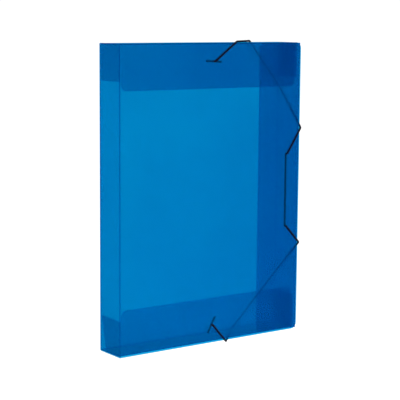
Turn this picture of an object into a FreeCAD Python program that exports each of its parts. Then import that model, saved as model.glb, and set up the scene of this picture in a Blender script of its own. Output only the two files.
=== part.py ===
import FreeCAD, Part
import math
import os
import re

import Sketcher
from FreeCAD import Placement, Rotation, Vector

# A document box file folded from one creased polypropylene blank and closed by an elastic cord.
# While it is laid out, x runs right from the spine's outer face, y runs back from the cover's
# outer face and z runs up from the cover's bottom edge. All of it then moves to the origin,
# which is the middle of the bottom of the whole object's box.

SIZES = [
    ("coverHeight", 335, "height of cover and spine"),
    ("coverWidth", 245, "spine's outer face to the cover's free edge"),
    ("boxDepth", 40, "cover's outer face to back's outer face"),
    ("sheetThickness", 0.5, "polypropylene sheet"),
    ("trayInset", 0.5, "how far the cover stands past the tray at the top, bottom and right"),
    ("creaseDiameter", 1.0, "rounded fold at each crease"),
    ("flapDepth", 49.25, "top and bottom flap, from the crease to the free edge"),
    ("sideFlapDepth", 55.9, "side flap, from the crease to the free edge"),
    ("earLength", 39, "each ear, from the crease to the free edge"),
    ("earTaper", 9, "how much narrower the lower spine ear is at its crease"),
    ("cornerRadius", 7, "rounded free corners"),
    ("flapRoom", 4, "cover's outer face to the flat of the side flap, which leaves room for the cord"),
    ("flapRamp", 12, "stretch beside its crease in which the side flap dips behind the cord"),
    ("flapBend", 15, "gentle bend at the end of that stretch"),
    ("flapSetIn", 2.5, "how far the top and bottom flaps stand in from the ends of their creases"),
    ("sheetGap", 0.3, "between sheets that lie side by side"),
    ("foldGap", 0.05, "between a flap's fold and the flap in front of it"),
    ("earGap", 0.1, "between the side wall and the folds of the ears inside it"),
    ("cordDiameter", 2, "elastic cord"),
    ("cordClearance", 0.5, "between the cord and the faces that it lies along"),
    ("cordRoom", 0.1, "between the cover's back and the cord and bars behind it"),
    ("cordBend", 2, "middle line of the cord where it goes round an edge"),
    ("cordHole", 3.4, "punched hole in the cover"),
    ("endHoleInset", 20, "end holes, from the cover's top and bottom edges"),
    ("sideHoleInset", 18.6, "side holes, from the cover's free edge"),
    ("sideHoleSpacing", 84.5, "between the two side holes"),
    ("sideHoleDrop", 1.75, "how far the middle between the side holes is below the cover's middle"),
    ("barLength", 21, "crimped cross bar on each end of the cord"),
    ("barDiameter", 2.4, "crimped cross bar"),
]

FACES_FRONT = Rotation(Vector(1, 0, 0), 90)      # outline runs x and z, thickness runs towards -y
FACES_SIDE = Rotation(Vector(1, 1, 1), 120)      # outline runs y and z, thickness runs towards +x
FACES_UP = Rotation()                            # outline runs x and y, thickness runs towards +z

doc = FreeCAD.newDocument("BoxFile")
sheet = doc.addObject("Spreadsheet::Sheet", "Sizes")
subParts = []


def fillSheet():
    for row, (alias, number, meaning) in enumerate(SIZES, start=1):
        sheet.set(f"A{row}", alias)
        sheet.set(f"B{row}", str(number))
        sheet.set(f"C{row}", meaning)
        sheet.setAlias(f"B{row}", alias)
    doc.recompute()


def size(alias):
    return float(sheet.get(alias))


def bound(formula):
    """A formula in the sheet's aliases, as an expression that names the sheet."""
    return re.sub(r"([A-Za-z]+)", r"Sizes.\1", formula)


def value(formula):
    result = sheet.evalExpression(bound(formula))
    return float(getattr(result, "Value", result))


def newBody(label):
    body = doc.addObject("PartDesign::Body", label)
    body.Label = label
    subParts.append(body)
    return body


def newSketch(body, name):
    sketch = body.newObject("Sketcher::SketchObject", name)
    plane = next(f for f in body.Origin.OriginFeatures if f.Role == "XY_Plane")
    sketch.AttachmentSupport = [(plane, "")]
    sketch.MapMode = "FlatFace"
    return sketch


def pinPoint(sketch, geometry, point, across, along, name):
    """Ties a point of the sketch to two formulas measured from the sketch's origin."""
    for kind, axis, formula in (("DistanceX", -2, across), ("DistanceY", -1, along)):
        if formula == "0":
            sketch.addConstraint(Sketcher.Constraint("PointOnObject", geometry, point, axis))
            continue
        distance = Sketcher.Constraint(kind, -1, 1, geometry, point, value(formula))
        number = sketch.addConstraint(distance)
        sketch.renameConstraint(number, name + kind[-1])
        sketch.setExpression(f"Constraints[{number}]", bound(formula))


def padOutline(label, corners, length):
    """A body with an outline of corner formulas, padded to a length."""
    body = newBody(label)
    sketch = newSketch(body, label + "_outline")
    ends = [Vector(value(across), value(along), 0) for across, along in corners]
    for start, end in zip(ends, ends[1:] + ends[:1]):
        sketch.addGeometry(Part.LineSegment(start, end))
    for line, (across, along) in enumerate(corners):
        previous = (line - 1) % len(corners)
        sketch.addConstraint(Sketcher.Constraint("Coincident", previous, 2, line, 1))
        pinPoint(sketch, line, 1, across, along, f"corner{line}")
    pad = body.newObject("PartDesign::Pad", label + "_pad")
    pad.Profile = sketch
    pad.setExpression("Length", bound(length))
    doc.recompute()
    return body, pad, ends


def roundEdges(body, base, middles, radius, name):
    """Rounds the edges of a feature that have these middle points, and returns the fillet."""
    fillet = body.newObject("PartDesign::Fillet", name)
    fillet.Base = (base, [edgeAt(base.Shape, middle) for middle in middles])
    fillet.setExpression("Radius", bound(radius))
    doc.recompute()
    return fillet


def edgeAt(shape, middle):
    for number, edge in enumerate(shape.Edges, start=1):
        if edge.CenterOfMass.distanceToPoint(middle) < 1e-6:
            return f"Edge{number}"
    raise ValueError("no edge has its middle here")


def cutSheet(label, corners, turn, at, rounded=()):
    """One flat piece of the blank, as thick as the sheet."""
    body, pad, ends = padOutline(label, corners, "sheetThickness")
    if rounded:
        raised = Vector(0, 0, size("sheetThickness") / 2)
        middles = [ends[corner] + raised for corner in rounded]
        roundEdges(body, pad, middles, "cornerRadius", label + "_corners")
    body.Placement = Placement(Vector(*at), turn)
    return body


def crease(label, length, turn, at):
    """The rounded fold between two flat pieces, on the line that they turn about."""
    fold = doc.addObject("Part::Cylinder", label)
    fold.Label = label
    fold.setExpression("Radius", bound("creaseDiameter / 2"))
    fold.setExpression("Height", bound(length))
    fold.Placement = Placement(Vector(*at), turn)
    subParts.append(fold)
    return fold


def layout():
    """The places that the pieces share, worked out once from the sheet."""
    thick = size("sheetThickness")
    half = thick / 2
    fold = size("creaseDiameter") / 2
    inset = size("trayInset")
    place = {
        "half": half,
        "fold": fold,
        "top": size("coverHeight") - inset - half,         # middle planes of the tray's walls
        "bottom": inset + half,
        "back": size("boxDepth") - half,
        "side": size("coverWidth") - inset - half,
        "spineEar": thick + size("sheetGap") + fold,       # middle planes of the ears
        "sideFold": thick + size("sheetGap") + fold,       # the side flap's crease, close behind the cover
        "topFlap": size("flapRoom") + thick + size("foldGap") + fold,
    }
    place["sideEar"] = place["side"] - half - size("earGap") - fold
    return place


def coverAndSpine(place):
    inner = "coverWidth - sheetThickness / 2 - creaseDiameter / 2"
    cover = cutSheet(
        "front_cover",
        [("0", "0"), (inner, "0"), (inner, "coverHeight"), ("0", "coverHeight")],
        FACES_FRONT, (place["half"] + place["fold"], size("sheetThickness"), 0), rounded=(1, 2))
    punchCordHoles(cover)
    spineWidth = "boxDepth - sheetThickness - creaseDiameter"
    cutSheet(
        "spine_panel",
        [("0", "0"), (spineWidth, "0"), (spineWidth, "coverHeight"), ("0", "coverHeight")],
        FACES_SIDE, (0, place["half"] + place["fold"], 0))
    crease("cover_crease", "coverHeight", FACES_UP, (place["half"], place["half"], 0))
    trayHeight = "coverHeight - 2 * trayInset"
    crease("spine_crease", trayHeight, FACES_UP, (place["half"], place["back"], size("trayInset")))


def punchCordHoles(cover):
    """Four punched holes that the cord passes through, two at mid-width and two near the free edge."""
    start = "(sheetThickness / 2 + creaseDiameter / 2)"
    middle = f"coverWidth / 2 - {start}"
    edge = f"coverWidth - sideHoleInset - {start}"
    holes = [
        (middle, "endHoleInset"),
        (middle, "coverHeight - endHoleInset"),
        (edge, "coverHeight / 2 - sideHoleDrop - sideHoleSpacing / 2"),
        (edge, "coverHeight / 2 - sideHoleDrop + sideHoleSpacing / 2"),
    ]
    whole = cover.Shape.Volume
    sketch = newSketch(cover, "cord_holes")
    for number, (across, along) in enumerate(holes):
        centre = Vector(value(across), value(along), 0)
        sketch.addGeometry(Part.Circle(centre, Vector(0, 0, 1), size("cordHole") / 2))
        pinPoint(sketch, number, 3, across, along, f"hole{number}")
        radius = sketch.addConstraint(Sketcher.Constraint("Radius", number, size("cordHole") / 2))
        sketch.setExpression(f"Constraints[{radius}]", bound("cordHole / 2"))
    pocket = cover.newObject("PartDesign::Pocket", "cord_hole_cuts")
    pocket.Profile = sketch
    pocket.Type = "ThroughAll"
    pocket.Reversed = True
    doc.recompute()
    punched = len(holes) * math.pi * (size("cordHole") / 2) ** 2 * size("sheetThickness")
    if abs(whole - cover.Shape.Volume - punched) > punched / 100:
        raise ValueError("the cord holes don't go through the cover")


def backPanel(place):
    width = "coverWidth - trayInset - sheetThickness - creaseDiameter"
    height = "coverHeight - 2 * trayInset - sheetThickness - creaseDiameter"
    cutSheet(
        "back_panel",
        [("0", "0"), (width, "0"), (width, height), ("0", height)],
        FACES_FRONT,
        (place["half"] + place["fold"], size("boxDepth"), place["bottom"] + place["fold"]))


def endWall(place, end):
    """The top or bottom wall with its crease, its flap and its two ears."""
    level = place[end]
    left = place["spineEar"] + place["fold"]
    wallWidth = "coverWidth - trayInset - 2 * (sheetThickness + creaseDiameter) - sheetGap - earGap"
    wallDepth = "boxDepth - flapRoom - foldGap - 1.5 * (sheetThickness + creaseDiameter)"
    front = place["topFlap"] + place["fold"]
    cutSheet(
        end + "_wall",
        [("0", "0"), (wallWidth, "0"), (wallWidth, wallDepth), ("0", wallDepth)],
        FACES_UP, (left, front, level - place["half"]))
    alongX = Rotation(Vector(0, 1, 0), 90)
    crease(end + "_wall_crease", wallWidth, alongX, (left, place["back"], level))
    endFlap(place, end, wallWidth, alongX)
    ears(place, end, wallDepth)


def endFlap(place, end, wallWidth, alongX):
    level = place[end]
    foldStart = place["spineEar"] + place["fold"] + size("sheetGap")
    foldLength = f"{wallWidth} - 2 * sheetGap"
    crease(end + "_flap_crease", foldLength, alongX, (foldStart, place["topFlap"], level))
    left = foldStart + size("flapSetIn")
    width = f"{foldLength} - 2 * flapSetIn"
    height = "flapDepth - creaseDiameter / 2"
    if end == "top":
        low = level - size("flapDepth")
        rounded = (0, 1)
    else:
        low = level + place["fold"]
        rounded = (2, 3)
    cutSheet(
        end + "_flap",
        [("0", "0"), (width, "0"), (width, height), ("0", height)],
        FACES_FRONT, (left, place["topFlap"] + place["half"], low), rounded=rounded)


def ears(place, end, wallDepth):
    """Two ears at the ends of the wall: one behind the spine and one inside the side wall."""
    level = place[end]
    up = 1 if end == "bottom" else -1
    alongY = Rotation(Vector(1, 0, 0), -90)
    front = place["topFlap"] + place["fold"]
    length = "earLength - creaseDiameter / 2"
    low = level + place["fold"] if up > 0 else level - size("earLength")
    for name, middle in (("spine", place["spineEar"]), ("side", place["sideEar"])):
        label = f"{name}_{end}_ear"
        crease(label + "_crease", wallDepth, alongY, (middle, front, level))
        start = front
        reach = wallDepth
        if name == "spine":                            # covers the whole width of the spine from inside
            start = 2 * size("sheetThickness")
            reach = "boxDepth - 3 * sheetThickness - creaseDiameter / 2"
        base = f"{reach} - earTaper" if (name, end) == ("spine", "bottom") else reach
        cutSheet(
            label,
            [("0", "0"), (base, "0"), (reach, length), ("0", length)],
            FACES_SIDE, (middle - place["half"], start, low))


def sideWall(place):
    low = size("trayInset")
    height = "coverHeight - 2 * trayInset"
    crease("side_wall_crease", height, FACES_UP, (place["side"], place["back"], low))
    crease("side_flap_crease", height, FACES_UP, (place["side"], place["sideFold"], low))
    wallDepth = "boxDepth - sheetGap - 1.5 * (sheetThickness + creaseDiameter)"
    cutSheet(
        "side_wall",
        [("0", "0"), (wallDepth, "0"), (wallDepth, height), ("0", height)],
        FACES_SIDE, (place["side"] - place["half"], place["sideFold"] + place["fold"], low))
    sideFlap(place, height, low)


def sideFlap(place, height, low):
    """The side flap, which starts close behind the cover and dips behind the straight stretch of cord.
    Its outline is its section: x from the free edge to the crease, y from the crease's front face back."""
    dip = "flapRoom - sheetGap - sheetThickness / 2 - creaseDiameter / 2"
    flat = "sideFlapDepth - flapRamp"
    end = "sideFlapDepth - creaseDiameter / 2"
    body, pad, ends = padOutline("side_flap", [
        ("0", dip), (flat, dip), (end, "0"),
        (end, "sheetThickness"), (flat, f"{dip} + sheetThickness"), ("0", f"{dip} + sheetThickness"),
    ], height)
    tall = value(height)
    halfway = Vector(0, 0, tall / 2)
    bend = roundEdges(body, pad, [ends[1] + halfway, ends[4] + halfway], "flapBend", "side_flap_bend")
    freeEdge = (ends[0] + ends[5]) / 2
    roundEdges(body, bend, [freeEdge, freeEdge + Vector(0, 0, tall)], "cornerRadius", "side_flap_corners")
    front = place["sideFold"] - place["half"]
    body.Placement = Placement(Vector(place["side"] - size("sideFlapDepth"), front, low), FACES_UP)


def cordRoute():
    """The corners of the cord's middle line: from bar to hole, round the box's upper free corner to a
    side hole, down behind the cover to the other one, and round the lower free corner to the second bar."""
    off = size("cordClearance") + size("cordDiameter") / 2
    inset = size("trayInset")
    front = -off
    back = size("boxDepth") + off
    behindCover = size("sheetThickness") + size("cordRoom") + size("cordBend")
    barMiddle = size("sheetThickness") + size("cordRoom") + size("barDiameter") / 2
    coverTop = size("coverHeight") + off
    coverBottom = -off
    coverEdge = size("coverWidth") + off
    middle = size("coverWidth") / 2
    topHole = size("coverHeight") - size("endHoleInset")
    bottomHole = size("endHoleInset")
    sideHole = size("coverWidth") - size("sideHoleInset")
    upperHole = size("coverHeight") / 2 - size("sideHoleDrop") + size("sideHoleSpacing") / 2
    lowerHole = upperHole - size("sideHoleSpacing")
    return [
        Vector(middle, barMiddle, topHole),
        Vector(middle, front, topHole),
        Vector(middle + 27, front, coverTop),
        Vector(coverEdge - 42.5, back, coverTop - inset),
        Vector(coverEdge - inset, back, coverTop - 51),
        Vector(coverEdge, front, upperHole + 29),
        Vector(sideHole, front, upperHole),
        Vector(sideHole, behindCover, upperHole),
        Vector(sideHole, behindCover, lowerHole),
        Vector(sideHole, front, lowerHole),
        Vector(coverEdge, front, lowerHole - 20.5),
        Vector(coverEdge - inset, back, coverBottom + 62.3),
        Vector(coverEdge - 65.5, back, coverBottom + inset),
        Vector(middle + 18.5, front, coverBottom),
        Vector(middle, front, bottomHole),
        Vector(middle, barMiddle, bottomHole),
    ]


def cordPath(corners, radius):
    """Straight runs joined by tangent arcs of one radius."""
    edges = []
    start = corners[0]
    for before, corner, after in zip(corners, corners[1:], corners[2:]):
        inward = (corner - before).normalize()
        outward = (after - corner).normalize()
        turn = inward.getAngle(outward)
        reach = radius * math.tan(turn / 2)
        first = corner - inward * reach
        last = corner + outward * reach
        towards = (outward - inward).normalize()
        middle = corner + towards * (radius / math.cos(turn / 2) - radius)
        edges.append(Part.LineSegment(start, first).toShape())
        edges.append(Part.Arc(first, middle, last).toShape())
        start = last
    edges.append(Part.LineSegment(start, corners[-1]).toShape())
    return Part.Wire(edges)


def elasticCord():
    corners = cordRoute()
    radius = size("cordDiameter") / 2
    path = cordPath(corners, size("cordBend"))
    circle = Part.makeCircle(radius, corners[0], corners[1] - corners[0])
    solid = path.makePipeShell([Part.Wire(circle)], True, False)
    cord = doc.addObject("Part::Feature", "elastic_cord")
    cord.Label = "elastic_cord"
    cord.Shape = solid
    subParts.append(cord)
    expected = math.pi * radius ** 2 * path.Length
    print(f"cord length {path.Length:.1f} mm, every bend {size('cordBend'):g} mm,",
          f"volume {solid.Volume:.1f} against {expected:.1f} mm3")
    if abs(solid.Volume / expected - 1) > 0.01:
        raise ValueError("the cord's volume doesn't match its length")
    return corners


def crossBars(corners):
    """The crimped bars that stop the cord's ends behind the cover."""
    places = (("top_anchor_bar", corners[0], -3.5), ("bottom_anchor_bar", corners[-1], 61.5))
    for label, centre, slope in places:
        bar = doc.addObject("Part::Cylinder", label)
        bar.Label = label
        bar.setExpression("Radius", bound("barDiameter / 2"))
        bar.setExpression("Height", bound("barLength"))
        along = Vector(math.cos(math.radians(slope)), 0, math.sin(math.radians(slope)))
        bar.Placement = Placement(centre - along * size("barLength") / 2, Rotation(Vector(0, 0, 1), along))
        subParts.append(bar)


def moveToOrigin():
    """Moves every piece so that the origin is the middle of the bottom of the whole object's box."""
    whole = FreeCAD.BoundBox()
    for part in subParts:
        whole.add(part.Shape.optimalBoundingBox())
    shift = Vector(-whole.Center.x, -whole.Center.y, -whole.ZMin)
    for part in subParts:
        placed = part.Placement
        part.Placement = Placement(placed.Base + shift, placed.Rotation)
    doc.recompute()
    print("moved by", [round(c, 3) for c in shift], "size",
          [round(c, 2) for c in (whole.XLength, whole.YLength, whole.ZLength)])


def checkDocument():
    for thing in doc.Objects:
        if {"Invalid", "Error"} & set(thing.State):
            raise ValueError(f"{thing.Label} didn't compute: {thing.State}")
    for part in subParts:
        if part.Shape.isNull() or not part.Shape.isValid():
            raise ValueError(f"{part.Label} has no valid shape")


def writeParts():
    os.makedirs("parts", exist_ok=True)
    for part in subParts:
        part.Shape.exportStep(f"parts/{part.Label}.step")
    print(len(subParts), "parts written")


fillSheet()
place = layout()
coverAndSpine(place)
backPanel(place)
for end in ("top", "bottom"):
    endWall(place, end)
sideWall(place)
doc.recompute()
crossBars(elasticCord())
doc.recompute()
moveToOrigin()
checkDocument()
writeParts()
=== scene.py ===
import math

import bpy
import numpy as np
from mathutils import Matrix, Vector


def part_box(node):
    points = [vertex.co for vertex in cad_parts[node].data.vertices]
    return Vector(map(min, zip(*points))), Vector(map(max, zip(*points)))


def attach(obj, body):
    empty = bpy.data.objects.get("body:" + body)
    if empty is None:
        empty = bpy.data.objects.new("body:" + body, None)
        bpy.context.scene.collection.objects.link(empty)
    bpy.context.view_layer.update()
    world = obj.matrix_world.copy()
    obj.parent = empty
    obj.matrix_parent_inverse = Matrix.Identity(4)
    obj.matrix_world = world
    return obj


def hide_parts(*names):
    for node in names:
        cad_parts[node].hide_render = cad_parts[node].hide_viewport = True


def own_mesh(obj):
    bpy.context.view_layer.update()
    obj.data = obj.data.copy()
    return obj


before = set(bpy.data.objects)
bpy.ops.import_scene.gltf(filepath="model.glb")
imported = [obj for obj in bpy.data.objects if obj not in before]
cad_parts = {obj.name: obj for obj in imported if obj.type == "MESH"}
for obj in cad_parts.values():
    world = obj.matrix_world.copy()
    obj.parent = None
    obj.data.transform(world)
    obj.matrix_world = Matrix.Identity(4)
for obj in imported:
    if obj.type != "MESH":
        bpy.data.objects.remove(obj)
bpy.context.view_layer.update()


# Camera: low three-quarter view from the front left
cameraSet = {
    "place": (-0.8363, -1.1546, 0.3677),     # metres from the middle of the box's foot
    "right": (0.81222, -0.58330, 0.00782),
    "down": (-0.07704, -0.12054, -0.98971),
    "lens": 115.5,
    "sensorWidth": 36,
    "clip": (0.05, 60),                      # nearest and farthest distance that is drawn
}


def addCamera(s):
    right = Vector(s["right"]).normalized()
    up = -Vector(s["down"]).normalized()
    back = right.cross(up).normalized()
    up = back.cross(right)
    turn = Matrix((right, up, back)).transposed().to_4x4()
    bpy.ops.object.camera_add()
    cam = bpy.context.object
    cam.name = "studioCamera"
    cam.matrix_world = Matrix.Translation(Vector(s["place"])) @ turn
    cam.data.lens = s["lens"]
    cam.data.sensor_width = s["sensorWidth"]
    cam.data.clip_start, cam.data.clip_end = s["clip"]
    bpy.context.scene.camera = cam


addCamera(cameraSet)
bpy.context.scene.view_settings.view_transform = "Standard"
bpy.context.scene.cycles.transparent_max_bounces = 40      # sight lines cross many clear sheets
print("camera set")


# Small helpers for modelling and for node trees
def clearSelection():
    if bpy.context.object and bpy.context.object.mode != "OBJECT":
        bpy.ops.object.mode_set(mode="OBJECT")
    bpy.ops.object.select_all(action="DESELECT")


def makeActive(piece):
    clearSelection()
    piece.select_set(True)
    bpy.context.view_layer.objects.active = piece


def settle(piece):
    makeActive(piece)                      # the place goes into the mesh, the object to the origin
    bpy.ops.object.transform_apply(location=True, rotation=True, scale=True)


def newMaterial(name):
    mat = bpy.data.materials.new(name)
    mat.use_nodes = True
    mat.node_tree.nodes.clear()
    out = mat.node_tree.nodes.new("ShaderNodeOutputMaterial")
    return mat, mat.node_tree, out


def addNode(tree, kind, **settings):
    node = tree.nodes.new(kind)
    for name, setting in settings.items():
        setattr(node, name, setting)
    return node


def feed(tree, socket, given):
    if isinstance(given, bpy.types.NodeSocket):
        tree.links.new(given, socket)
    else:
        socket.default_value = given


def calc(tree, operation, first, second=None, clamp=False):
    node = addNode(tree, "ShaderNodeMath", operation=operation, use_clamp=clamp)
    for socket, given in zip(node.inputs, (first, second)):
        if given is not None:
            feed(tree, socket, given)
    return node.outputs[0]


def ranged(tree, given, low, high, toLow=0.0, toHigh=1.0):
    node = addNode(tree, "ShaderNodeMapRange", interpolation_type="SMOOTHSTEP")
    feed(tree, node.inputs["Value"], given)
    for name, number in (("From Min", low), ("From Max", high), ("To Min", toLow), ("To Max", toHigh)):
        node.inputs[name].default_value = number
    return node.outputs["Result"]


def noiseAt(tree, coords, scale, detail=2.0, rough=0.5, stretch=None):
    if stretch:
        mapping = addNode(tree, "ShaderNodeMapping")
        mapping.inputs["Scale"].default_value = stretch
        tree.links.new(coords, mapping.inputs["Vector"])
        coords = mapping.outputs[0]
    noise = addNode(tree, "ShaderNodeTexNoise")
    noise.inputs["Scale"].default_value = scale
    noise.inputs["Detail"].default_value = detail
    noise.inputs["Roughness"].default_value = rough
    tree.links.new(coords, noise.inputs["Vector"])
    return noise.outputs["Fac"]


def bumpFrom(tree, height, depth, strength=1.0, under=None):
    bump = addNode(tree, "ShaderNodeBump")
    bump.inputs["Strength"].default_value = strength
    bump.inputs["Distance"].default_value = depth
    tree.links.new(height, bump.inputs["Height"])
    if under is not None:
        tree.links.new(under, bump.inputs["Normal"])
    return bump.outputs["Normal"]


def blendColours(tree, share, first, second):
    mix = addNode(tree, "ShaderNodeMix", data_type="RGBA")
    feed(tree, mix.inputs["Factor"], share)
    feed(tree, mix.inputs["A"], first)
    feed(tree, mix.inputs["B"], second)
    return mix.outputs["Result"]


# Translucent polypropylene sheet
filmLook = {
    "clear": (0.13, 0.729, 0.870, 1),      # what one face of the sheet lets through
    "deep": (0.10, 0.686, 0.842, 1),       # the same where the sheet looks thicker
    "glow": (0.0, 0.20, 0.67, 1),          # colour of the light that the plastic scatters
    "sheen": (0.0, 0.25, 0.47, 1),         # colour of what the satin faces mirror
    "haze": 0.075,                         # share of the light that is scattered
    "hazeDrift": 0.15,                     # how far the haze varies over a sheet
    "wearHaze": 0.05,                      # more of it on a worn edge
    "scuffHaze": 0.02,                     # and on a scratch
    "wearDepth": 0.6,                      # how far a worn edge goes over to the deep tint
    "roughness": 0.26,
    "scuffRoughness": 0.18,                # what the scratches add
    "mirrorFaceOn": 0.045,                 # share that is mirrored, seen face on
    "mirrorEdgeOn": 0.9,                   # what comes on top, seen edge on
    "mirrorPower": 5.0,
    "blurShare": 0.13,                     # light that the satin faces bend a little on its way through
    "blurIndex": 1.12,
    "blurRoughness": 0.30,
    "cloudScale": 11.0,
    "scratchScale": 60.0,
    "scratchStretch": (7.0, 7.0, 0.7),     # the scratches run up and down
    "waveScale": 7.0,
    "waveDepth": 0.004,
    "grainSize": 0.0004,
    "grainDepth": 0.00001,
    "edgeWidth": 0.0011,                   # width of the wear along the cut edges
    "holeRing": 0.0012,                    # and round a punched hole
}

# Holes in the cover, in metres
punchedHoles = {
    "radius": 0.0017,
    "barInset": 0.1225,       # under the end bars: from the free edge
    "barEnd": 0.020,          # and from the top or bottom edge
    "sideInset": 0.0186,      # side holes: from the free edge
    "sideUp": 0.0405,         # the upper one, above the cover's middle
    "sideDown": 0.0440,       # the lower one, below it
}


# Distance to the nearest cut edge of a flat sheet, in metres, from its object coordinates
def edgeDistance(tree, xyz, low, high):
    spans = [high[axis] - low[axis] for axis in range(3)]
    thin = spans.index(min(spans))
    nearest = None
    for axis in range(3):
        if axis == thin:
            continue
        fromLow = calc(tree, "SUBTRACT", xyz.outputs[axis], low[axis])
        fromHigh = calc(tree, "SUBTRACT", high[axis], xyz.outputs[axis])
        closer = calc(tree, "MINIMUM", fromLow, fromHigh)
        nearest = closer if nearest is None else calc(tree, "MINIMUM", nearest, closer)
    return nearest


# 1 beside a punched hole, fading to 0 a little way out. Centres are (x, z)
def ringAround(tree, xyz, centres, radius, width):
    nearest = None
    for x, z in centres:
        across = calc(tree, "SUBTRACT", xyz.outputs[0], x)
        along = calc(tree, "SUBTRACT", xyz.outputs[2], z)
        squareAcross = calc(tree, "MULTIPLY", across, across)
        squareAlong = calc(tree, "MULTIPLY", along, along)
        away = calc(tree, "SQRT", calc(tree, "ADD", squareAcross, squareAlong))
        nearest = away if nearest is None else calc(tree, "MINIMUM", nearest, away)
    return ranged(tree, nearest, radius, radius + width, 1.0, 0.0)


def filmMaterial(name, low, high, s, holes=()):
    mat, tree, out = newMaterial(name)
    coords = addNode(tree, "ShaderNodeTexCoord").outputs["Object"]
    xyz = addNode(tree, "ShaderNodeSeparateXYZ")
    tree.links.new(coords, xyz.inputs[0])
    cloud = noiseAt(tree, coords, s["cloudScale"], detail=3.0, rough=0.55)
    grain = noiseAt(tree, coords, 1 / s["grainSize"], detail=2.0)
    scratch = noiseAt(tree, coords, s["scratchScale"], detail=4.0, rough=0.7, stretch=s["scratchStretch"])
    wear = ranged(tree, edgeDistance(tree, xyz, low, high), 0.0, s["edgeWidth"], 1.0, 0.0)
    if holes:
        rings = ringAround(tree, xyz, holes, punchedHoles["radius"], s["holeRing"])
        wear = calc(tree, "MAXIMUM", wear, rings)

    thickness = ranged(tree, cloud, 0.3, 0.7, 0.15, 0.40)
    thickness = calc(tree, "ADD", thickness, calc(tree, "MULTIPLY", wear, s["wearDepth"]), clamp=True)
    tint = blendColours(tree, thickness, s["clear"], s["deep"])
    if "paintedLightRamp" in s:                       # painted light and shade: the tint goes over to another one between two points
        start, end, shade = s["paintedLightRamp"]
        along = addNode(tree, "ShaderNodeVectorMath", operation="DOT_PRODUCT")
        tree.links.new(coords, along.inputs[0])
        run = Vector(end) - Vector(start)
        along.inputs[1].default_value = run / run.length_squared
        offset = run.dot(Vector(start)) / run.length_squared
        tint = blendColours(tree, ranged(tree, along.outputs["Value"], offset, offset + 1), tint, shade)
    straight = addNode(tree, "ShaderNodeBsdfTransparent")
    bent = addNode(tree, "ShaderNodeBsdfRefraction")
    bent.inputs["IOR"].default_value = s["blurIndex"]
    bent.inputs["Roughness"].default_value = s["blurRoughness"]
    tree.links.new(tint, straight.inputs["Color"])
    tree.links.new(tint, bent.inputs["Color"])
    see = addNode(tree, "ShaderNodeMixShader")
    see.inputs[0].default_value = s["blurShare"]
    tree.links.new(straight.outputs[0], see.inputs[1])
    tree.links.new(bent.outputs[0], see.inputs[2])

    wave = noiseAt(tree, coords, s["waveScale"], detail=1.0)
    surface = bumpFrom(tree, wave, s["waveDepth"], strength=0.25)
    surface = bumpFrom(tree, grain, s["grainDepth"], strength=0.2, under=surface)
    front = addNode(tree, "ShaderNodeBsdfDiffuse")
    through = addNode(tree, "ShaderNodeBsdfTranslucent")
    sheen = addNode(tree, "ShaderNodeBsdfGlossy")
    for shader in (front, through, sheen):
        tree.links.new(surface, shader.inputs["Normal"])
    front.inputs["Color"].default_value = s["glow"]
    through.inputs["Color"].default_value = s["glow"]
    sheen.inputs["Color"].default_value = s["sheen"]
    roughest = s["roughness"] + s["scuffRoughness"]
    roughness = ranged(tree, scratch, 0.35, 0.75, s["roughness"], roughest)
    tree.links.new(roughness, sheen.inputs["Roughness"])

    scatter = addNode(tree, "ShaderNodeMixShader")
    scatter.inputs[0].default_value = 0.5  # half goes back, half goes on
    tree.links.new(front.outputs[0], scatter.inputs[1])
    tree.links.new(through.outputs[0], scatter.inputs[2])
    scuffs = ranged(tree, scratch, 0.62, 0.8, 0.0, s["scuffHaze"])
    haze = calc(tree, "ADD", calc(tree, "MULTIPLY", wear, s["wearHaze"]), scuffs)
    least = (1 - s["hazeDrift"]) * s["haze"]
    most = (1 + s["hazeDrift"]) * s["haze"]
    haze = calc(tree, "ADD", haze, ranged(tree, cloud, 0.3, 0.7, least, most))
    body = addNode(tree, "ShaderNodeMixShader")
    tree.links.new(haze, body.inputs[0])
    tree.links.new(see.outputs[0], body.inputs[1])
    tree.links.new(scatter.outputs[0], body.inputs[2])

    facing = addNode(tree, "ShaderNodeLayerWeight")
    facing.inputs["Blend"].default_value = 0.5
    glare = calc(tree, "POWER", facing.outputs["Facing"], s["mirrorPower"])
    glare = calc(tree, "ADD", calc(tree, "MULTIPLY", glare, s["mirrorEdgeOn"]), s["mirrorFaceOn"])
    surfaceMix = addNode(tree, "ShaderNodeMixShader")
    tree.links.new(glare, surfaceMix.inputs[0])
    tree.links.new(body.outputs[0], surfaceMix.inputs[1])
    tree.links.new(sheen.outputs[0], surfaceMix.inputs[2])
    tree.links.new(surfaceMix.outputs[0], out.inputs["Surface"])
    return mat


# Centres of the four punched holes of the cover, as (x, z)
def cordHoles(s):
    coverLow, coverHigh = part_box("front_cover")
    barX = coverHigh.x - s["barInset"]
    sideX = coverHigh.x - s["sideInset"]
    half = (coverLow.z + coverHigh.z) / 2
    return [
        (barX, coverHigh.z - s["barEnd"]), (barX, coverLow.z + s["barEnd"]),
        (sideX, half + s["sideUp"]), (sideX, half - s["sideDown"]),
    ]


def dressSheets():
    for name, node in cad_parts.items():
        if name in closureNodes:
            continue
        low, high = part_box(name)
        holes = cordHoles(punchedHoles) if name == "front_cover" else ()
        look = foldLook if name.endswith("crease") else filmLook
        look = ownLooks.get(name, look)
        mat = filmMaterial(name + "Film", low, high, look, holes)
        node.data.materials.clear()
        node.data.materials.append(mat)


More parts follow.
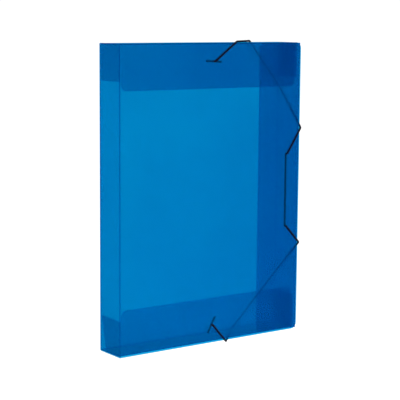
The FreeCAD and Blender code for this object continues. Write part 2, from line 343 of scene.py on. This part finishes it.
closureNodes = ("elastic_cord", "top_anchor_bar", "bottom_anchor_bar")
# a paler tint: on the bottom flap and bottom wall it is painted light coming up from the table below; the
# spine ears get the same paler tint
paintedLightLook = dict(filmLook, clear=(0.15, 0.825, 0.905, 1), deep=(0.12, 0.790, 0.885, 1))
foldLook = dict(filmLook, clear=(0.11, 0.56, 0.80, 1), deep=(0.08, 0.48, 0.74, 1), haze=0.09)
ownLooks = {                               # a painted light ramp is start, end and the tint at the end; darker to the low right of the cover it is painted shade, lighter to the left of the top flap it is painted light
    "spine_panel": dict(filmLook, clear=(0.12, 0.686, 0.855, 1), deep=(0.09, 0.646, 0.830, 1)),
    "front_cover": dict(filmLook, paintedLightRamp=((-0.10, 0, 0.30), (0.16, 0, 0.06), (0.07, 0.605, 0.815, 1))),
    "top_flap": dict(filmLook, paintedLightRamp=((0.03, 0, 0.31), (-0.12, 0, 0.31), (0.15, 0.800, 0.895, 1))),
    "bottom_flap": paintedLightLook,
    "bottom_wall": paintedLightLook,
    "spine_top_ear": paintedLightLook,
    "spine_bottom_ear": paintedLightLook,
}
dressSheets()
print("sheets dressed:", len(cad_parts) - len(closureNodes))


# Elastic cord: two outer loops and the straight stretch behind the cover
elastic = {
    "radius": 0.00114,
    "strands": 8,             # ridges round the braid, each way
    "turnLength": 0.0052,     # length in which a strand goes once round
    "relief": 0.00010,        # depth of the grooves between the strands
    "sides": 32,
    "step": 0.00030,          # distance from ring to ring along the cord
    "threadsPerStrand": 3.0,
    "threadDepth": 0.00004,
    "fuzzScale": 2600.0,
    "black": (0.001, 0.0015, 0.008, 1),
    "worn": (0.004, 0.006, 0.024, 1),
    "specular": 0.06,
    "sheenWeight": 0.01,
    "sheenRoughness": 0.5,
}

# Routes in metres, from the upper bar round to the lower one
upperRoute = [
    (-0.0011, -0.0182, 0.3175), (-0.0011, -0.0196, 0.3175), (-0.0011, -0.0211, 0.3175),
    (0.0009, -0.0211, 0.3190), (0.0254, -0.0211, 0.3368), (0.0278, -0.0211, 0.3387),
    (0.0300, -0.0193, 0.3389), (0.0762, 0.0195, 0.3385), (0.0787, 0.0216, 0.3387),
    (0.0806, 0.02135, 0.3361), (0.1203, 0.02135, 0.2903), (0.1225, 0.0216, 0.2880),
    (0.1224, 0.0194, 0.2857), (0.1225, -0.0190, 0.2417), (0.1221, -0.0211, 0.2395),
    (0.1205, -0.0211, 0.2370), (0.1039, -0.0211, 0.2121), (0.1028, -0.0211, 0.2105),
    (0.1028, -0.0198, 0.2105),
]
innerRoute = [
    (0.1028, -0.0198, 0.2105), (0.1028, -0.0184, 0.2105), (0.1028, -0.0184, 0.2088),
    (0.1028, -0.0184, 0.1277), (0.1028, -0.0184, 0.1260), (0.1028, -0.0198, 0.1260),
]
lowerRoute = [
    (0.1028, -0.0198, 0.1260), (0.1028, -0.0211, 0.1260), (0.1041, -0.0211, 0.1245),
    (0.1205, -0.0211, 0.1073), (0.1221, -0.0211, 0.1055), (0.1225, -0.0190, 0.1035),
    (0.1224, 0.0194, 0.0654), (0.1225, 0.0216, 0.0633), (0.1200, 0.02135, 0.0612),
    (0.0596, 0.02135, 0.0037), (0.0574, 0.0216, 0.0013), (0.0553, 0.0192, 0.0015),
    (0.0195, -0.0190, 0.0013), (0.0174, -0.0211, 0.0013), (0.0154, -0.0211, 0.0037),
    (0.0002, -0.0211, 0.0210), (-0.0011, -0.0211, 0.0225), (-0.0011, -0.0196, 0.0225),
    (-0.0011, -0.0182, 0.0225),
]


# Points along the smooth spline of a route, close together
def smoothLine(route):
    curve = bpy.data.curves.new("routeLine", "CURVE")
    curve.dimensions = "3D"
    spline = curve.splines.new("NURBS")
    spline.points.add(len(route) - 1)
    for point, place in zip(spline.points, route):
        point.co = (*place, 1)
    spline.order_u = 3
    spline.use_endpoint_u = True
    spline.resolution_u = 24
    holder = bpy.data.objects.new("routeLine", curve)
    bpy.context.collection.objects.link(holder)
    line = bpy.data.meshes.new_from_object(holder)
    points = np.array([v.co for v in line.vertices], float)
    bpy.data.objects.remove(holder)
    bpy.data.curves.remove(curve)
    bpy.data.meshes.remove(line)
    return points


def evenly(points, step):
    gaps = np.linalg.norm(np.diff(points, axis=0), axis=1)
    along = np.concatenate([[0], np.cumsum(gaps)])
    count = max(2, int(round(along[-1] / step)) + 1)
    at = np.linspace(0, along[-1], count)
    return np.stack([np.interp(at, along, points[:, axis]) for axis in range(3)], 1), at


# Two directions across the line at each point, carried along it without twist
def carriedFrames(points):
    along = np.gradient(points, axis=0)
    along /= np.linalg.norm(along, axis=1)[:, None]
    slant = (0.3, 0.2, 0.93)                                     # no route sets out in this direction
    across = np.cross(along[0], slant)
    across /= np.linalg.norm(across)
    firsts = []
    for direction in along:
        across = across - direction * (across @ direction)
        across /= np.linalg.norm(across)
        firsts.append(across)
    firsts = np.array(firsts)
    return firsts, np.cross(along, firsts)


def braidedTube(name, route, s):
    points, at = evenly(smoothLine(route), s["step"])
    first, second = carriedFrames(points)
    angle = np.linspace(0, 2 * math.pi, s["sides"], endpoint=False)
    turn = 2 * math.pi * at[:, None] / s["turnLength"]
    leftHand = np.cos(s["strands"] * (angle[None, :] + turn))
    rightHand = np.cos(s["strands"] * (angle[None, :] - turn))
    weave = np.maximum(leftHand, rightHand)                      # crossing strands, one over the other
    radius = s["radius"] + s["relief"] * (weave - 1.0)
    rings = (points[:, None, :]
             + radius[:, :, None] * np.cos(angle)[None, :, None] * first[:, None, :]
             + radius[:, :, None] * np.sin(angle)[None, :, None] * second[:, None, :])
    count, sides = len(points), s["sides"]
    places = np.concatenate([rings.reshape(-1, 3), points[:1], points[-1:]])
    faces = []
    for ring in range(count - 1):
        for side in range(sides):
            beside = (side + 1) % sides
            start, end = ring * sides, (ring + 1) * sides
            faces.append((start + side, start + beside, end + beside, end + side))
    last = (count - 1) * sides
    for side in range(sides):
        beside = (side + 1) % sides
        faces.append((beside, side, count * sides))
        faces.append((last + side, last + beside, count * sides + 1))
    mesh = bpy.data.meshes.new(name)
    mesh.from_pydata(places.tolist(), [], faces)
    uv = mesh.uv_layers.new(name="braid")                        # round the cord, and turns along it
    for face in mesh.polygons:
        face.use_smooth = True
        corners = [mesh.loops[i].vertex_index for i in face.loop_indices]
        for i, corner in zip(face.loop_indices, corners):
            ring, side = divmod(min(corner, count * sides - 1), sides)
            around = side / sides
            if around == 0 and any(c % sides == sides - 1 for c in corners if c < count * sides):
                around = 1.0
            uv.data[i].uv = (around, at[ring] / s["turnLength"])
    mesh.update()
    piece = bpy.data.objects.new(name, mesh)
    bpy.context.collection.objects.link(piece)
    return piece


def elasticMaterial(s):
    mat, tree, out = newMaterial("braidedElastic")
    uv = addNode(tree, "ShaderNodeUVMap", uv_map="braid").outputs[0]
    coords = addNode(tree, "ShaderNodeTexCoord").outputs["Object"]
    split = addNode(tree, "ShaderNodeSeparateXYZ")
    tree.links.new(uv, split.inputs[0])
    turns = calc(tree, "MULTIPLY", split.outputs[0], 2 * math.pi)
    length = calc(tree, "MULTIPLY", split.outputs[1], 2 * math.pi)
    waves = []
    for operation in ("ADD", "SUBTRACT"):
        phase = calc(tree, operation, turns, length)
        threadPhase = calc(tree, "MULTIPLY", phase, s["strands"] * s["threadsPerStrand"])
        waves.append(calc(tree, "COSINE", threadPhase))
    threads = calc(tree, "MAXIMUM", waves[0], waves[1])
    fuzz = noiseAt(tree, coords, s["fuzzScale"], detail=3.0, rough=0.7)
    height = calc(tree, "ADD", threads, fuzz)
    colour = blendColours(tree, ranged(tree, height, 0.6, 1.8), s["black"], s["worn"])
    skin = addNode(tree, "ShaderNodeBsdfPrincipled")
    tree.links.new(colour, skin.inputs["Base Color"])
    tree.links.new(ranged(tree, fuzz, 0.3, 0.7, 0.62, 0.85), skin.inputs["Roughness"])
    tree.links.new(bumpFrom(tree, height, s["threadDepth"], strength=0.6), skin.inputs["Normal"])
    skin.inputs["Specular IOR Level"].default_value = s["specular"]
    skin.inputs["Sheen Weight"].default_value = s["sheenWeight"]
    skin.inputs["Sheen Roughness"].default_value = s["sheenRoughness"]
    tree.links.new(skin.outputs[0], out.inputs["Surface"])
    return mat


def addElastic(s):
    mat = elasticMaterial(s)
    pieces = {}
    routes = {
        "elasticUpperLoop": upperRoute,
        "elasticInnerStretch": innerRoute,
        "elasticLowerLoop": lowerRoute,
    }
    for name, route in routes.items():
        piece = braidedTube(name, route, s)
        piece.data.materials.append(mat)
        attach(piece, "front_cover")
        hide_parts("elastic_cord")
        pieces[name] = piece
    for name in ("elasticUpperLoop", "elasticLowerLoop"):        # slipped off, the loops lie on the cover
        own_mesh(pieces[name])


addElastic(elastic)
print("elastic braided")


# Crimped cross bars on the cord's ends
bars = {
    "radius": 0.00120,
    "length": 0.0208,
    "sides": 40,
    "bevel": 0.0007,
    "pinch": 0.80,            # how far the crimps squeeze the bar
    "crimpAt": (0.0016, 0.0034),
    "crimpSlope": 0.00025,    # half the slope into a crimp
    "collar": 0.0014,
    "collarLength": 0.0034,
    "collarBevel": 0.0003,
    "near": 0.00001,          # this close to an end counts as on it
    "smoothAngle": 40,
    "upper": {"node": "top_anchor_bar", "slope": -3.5},
    "lower": {"node": "bottom_anchor_bar", "slope": 61.5},
    "colour": (0.002, 0.006, 0.050, 1),
    "rubbed": (0.02, 0.03, 0.12, 1),
    "rubScale": 900.0,
    "fineScale": 5200.0,
    "fineDepth": 0.00003,
}


def barMaterial(s):
    mat, tree, out = newMaterial("crimpedBar")
    coords = addNode(tree, "ShaderNodeTexCoord").outputs["Object"]
    rubs = noiseAt(tree, coords, s["rubScale"], detail=4.0, rough=0.65)
    fine = noiseAt(tree, coords, s["fineScale"], detail=2.0)
    edges = addNode(tree, "ShaderNodeNewGeometry").outputs["Pointiness"]
    worn = calc(tree, "MULTIPLY", ranged(tree, edges, 0.52, 0.6), ranged(tree, rubs, 0.4, 0.65))
    skin = addNode(tree, "ShaderNodeBsdfPrincipled")
    tree.links.new(blendColours(tree, worn, s["colour"], s["rubbed"]), skin.inputs["Base Color"])
    tree.links.new(ranged(tree, rubs, 0.3, 0.7, 0.32, 0.55), skin.inputs["Roughness"])
    tree.links.new(bumpFrom(tree, fine, s["fineDepth"], strength=0.5), skin.inputs["Normal"])
    tree.links.new(skin.outputs[0], out.inputs["Surface"])
    return mat


def addBar(name, place, s, mat):
    low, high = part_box(place["node"])
    middle = (low + high) / 2
    clearSelection()
    bpy.ops.mesh.primitive_cylinder_add(
        vertices=s["sides"], radius=s["radius"], depth=s["length"], location=(0, 0, 0)
    )
    bar = bpy.context.object
    bar.name = bar.data.name = name
    bpy.ops.object.mode_set(mode="EDIT")
    half = s["length"] / 2
    for side in (-1, 1):                                         # cuts at both ends of each slope
        for distance in s["crimpAt"]:
            for shift in (-s["crimpSlope"], s["crimpSlope"]):
                bpy.ops.mesh.select_all(action="SELECT")
                bpy.ops.mesh.bisect(plane_co=(0, 0, side * distance + shift), plane_no=(0, 0, 1))
    bpy.ops.object.mode_set(mode="OBJECT")
    crimpLow, crimpHigh = s["crimpAt"]
    for side in (-1, 1):
        selectRing(bar, lambda z: crimpLow < side * z < crimpHigh)
        bpy.ops.object.mode_set(mode="EDIT")
        bpy.ops.transform.resize(value=(s["pinch"], s["pinch"], 1), center_override=(0, 0, 0))
        bpy.ops.object.mode_set(mode="OBJECT")
    selectRing(bar, lambda z: abs(z) > half - s["near"])
    bpy.ops.object.mode_set(mode="EDIT")
    bpy.ops.mesh.bevel(offset=s["bevel"], segments=5, affect="EDGES")
    bpy.ops.object.mode_set(mode="OBJECT")
    addCollar(bar, s)
    turn = math.radians(90 - place["slope"])
    bar.rotation_euler = (0, turn, 0)
    bar.location = middle
    settle(bar)
    bpy.ops.object.shade_smooth_by_angle(angle=math.radians(s["smoothAngle"]))
    bar.data.materials.append(mat)
    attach(bar, "front_cover")
    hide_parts(place["node"])


# Selects a piece's vertices by their height
def selectRing(piece, isIn):
    makeActive(piece)
    bpy.ops.object.mode_set(mode="EDIT")
    bpy.ops.mesh.select_mode(type="VERT")
    bpy.ops.mesh.select_all(action="DESELECT")
    bpy.ops.object.mode_set(mode="OBJECT")
    for vertex in piece.data.vertices:
        vertex.select = isIn(vertex.co.z)


# The short sleeve in the middle of the bar that grips the end of the cord
def addCollar(bar, s):
    clearSelection()
    bpy.ops.mesh.primitive_cylinder_add(
        vertices=s["sides"], radius=s["collar"], depth=s["collarLength"], location=(0, 0, 0)
    )
    collar = bpy.context.object
    bpy.ops.object.mode_set(mode="EDIT")
    bpy.ops.mesh.select_all(action="SELECT")
    bpy.ops.mesh.bisect(plane_co=(0, 0, 0), plane_no=(0, 0, 1))
    bpy.ops.object.mode_set(mode="OBJECT")
    selectRing(collar, lambda z: abs(z) > s["collarLength"] / 2 - s["near"])
    bpy.ops.object.mode_set(mode="EDIT")
    bpy.ops.mesh.bevel(offset=s["collarBevel"], segments=3, affect="EDGES", clamp_overlap=True)
    bpy.ops.object.mode_set(mode="OBJECT")
    clearSelection()
    collar.select_set(True)
    bar.select_set(True)
    bpy.context.view_layer.objects.active = bar
    bpy.ops.object.join()


def addBars(s):
    mat = barMaterial(s)
    addBar("upperCrossBar", s["upper"], s, mat)
    addBar("lowerCrossBar", s["lower"], s, mat)


addBars(bars)
print("cross bars crimped")


# Studio: pale floor, even light
studio = {
    "floorSize": 24.0,
    "floorColour": (0.15, 0.15, 0.15, 1),
    "floorGlow": 0.96,        # the floor is a lit table, so the box throws no shadow on it
    # painted pool of light: a soft patch of the table in front glows brighter, mirrored low in the cover:
    # centre, half widths, added light
    "lightPool": ((0.06, -0.15), (0.55, 0.25), 1.6),
    "worldStrength": 1.05,
    "keyPlace": (-1.6, -2.2, 2.4),
    "keySize": 2.4,
    "keyPower": 14.0,
    "keyAim": (0, 0, 0.17),
}


def addStudio(s):
    clearSelection()
    bpy.ops.mesh.primitive_plane_add(size=s["floorSize"], location=(0, 0, 0))
    floor = bpy.context.object
    floor.name = "studioFloor"
    mat, tree, out = newMaterial("paleFloor")
    matte = addNode(tree, "ShaderNodeBsdfDiffuse")
    matte.inputs["Color"].default_value = s["floorColour"]
    glow = addNode(tree, "ShaderNodeEmission")
    coords = addNode(tree, "ShaderNodeTexCoord").outputs["Object"]
    # the painted pool of light is added on top of the floor's even glow
    centre, half, added = s["lightPool"]
    away = addNode(tree, "ShaderNodeVectorMath", operation="SUBTRACT")
    tree.links.new(coords, away.inputs[0])
    away.inputs[1].default_value = (centre[0], centre[1], 0)
    scaled = addNode(tree, "ShaderNodeVectorMath", operation="DIVIDE")
    tree.links.new(away.outputs[0], scaled.inputs[0])
    scaled.inputs[1].default_value = (half[0], half[1], 1)
    distance = addNode(tree, "ShaderNodeVectorMath", operation="LENGTH")
    tree.links.new(scaled.outputs[0], distance.inputs[0])
    inside = ranged(tree, distance.outputs["Value"], 0.0, 1.0, 1.0, 0.0)
    bright = calc(tree, "MULTIPLY", calc(tree, "MULTIPLY", inside, inside), added)
    tree.links.new(calc(tree, "ADD", bright, s["floorGlow"]), glow.inputs["Strength"])
    lit = addNode(tree, "ShaderNodeAddShader")
    tree.links.new(matte.outputs[0], lit.inputs[0])
    tree.links.new(glow.outputs[0], lit.inputs[1])
    tree.links.new(lit.outputs[0], out.inputs["Surface"])
    floor.data.materials.append(mat)
    world = bpy.data.worlds.new("evenLight")
    world.use_nodes = True
    world.node_tree.nodes["Background"].inputs["Color"].default_value = (1, 1, 1, 1)
    world.node_tree.nodes["Background"].inputs["Strength"].default_value = s["worldStrength"]
    bpy.context.scene.world = world
    bpy.ops.object.light_add(type="AREA", location=s["keyPlace"])
    key = bpy.context.object
    key.name = "softKey"
    key.data.energy = s["keyPower"]
    key.data.size = s["keySize"]
    aim = Vector(s["keyAim"]) - Vector(s["keyPlace"])
    key.rotation_euler = aim.to_track_quat("-Z", "Y").to_euler()


addStudio(studio)
print("studio lit")
